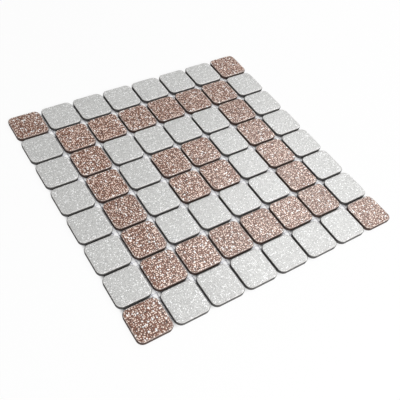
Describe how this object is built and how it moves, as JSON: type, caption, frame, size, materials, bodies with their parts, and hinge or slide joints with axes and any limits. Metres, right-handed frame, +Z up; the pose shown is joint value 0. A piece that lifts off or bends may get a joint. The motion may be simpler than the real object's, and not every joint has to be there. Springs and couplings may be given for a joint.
{
  "type": "mosaic tile sheet",
  "caption": "Square sheet of small square porcelain tiles in two colours, laid in square rings with open joints and glued by their backs to a glass-fibre net.",
  "frame": {"origin": "under the middle of the sheet, on the surface that its net lies on", "axes": "+X and +Y along the sheet's two sides, +Z up out of the tiles' faces"},
  "size_m": [0.317, 0.317, 0.005],
  "materials": {
    "brown_porcelain": "unglazed, matte, brown body thickly speckled with white",
    "grey_porcelain": "unglazed, matte, light grey body faintly speckled with white",
    "glass_fibre_net": "white coated glass-fibre yarn"
  },
  "bodies": {
    "root": {"brown_tiles_row_1": "brown_porcelain", "grey_tiles_row_1": "grey_porcelain", "brown_tiles_row_2": "brown_porcelain", "grey_tiles_row_2": "grey_porcelain", "brown_tiles_row_3": "brown_porcelain", "grey_tiles_row_3": "grey_porcelain", "brown_tiles_row_4": "brown_porcelain", "grey_tiles_row_4": "grey_porcelain", "brown_tiles_row_5": "brown_porcelain", "grey_tiles_row_5": "grey_porcelain", "brown_tiles_row_6": "brown_porcelain", "grey_tiles_row_6": "grey_porcelain", "brown_tiles_row_7": "brown_porcelain", "grey_tiles_row_7": "grey_porcelain", "brown_tiles_row_8": "brown_porcelain", "grey_tiles_row_8": "grey_porcelain", "net_warp_yarns": "glass_fibre_net", "net_weft_yarns": "glass_fibre_net"}
  },
  "joints": []
}
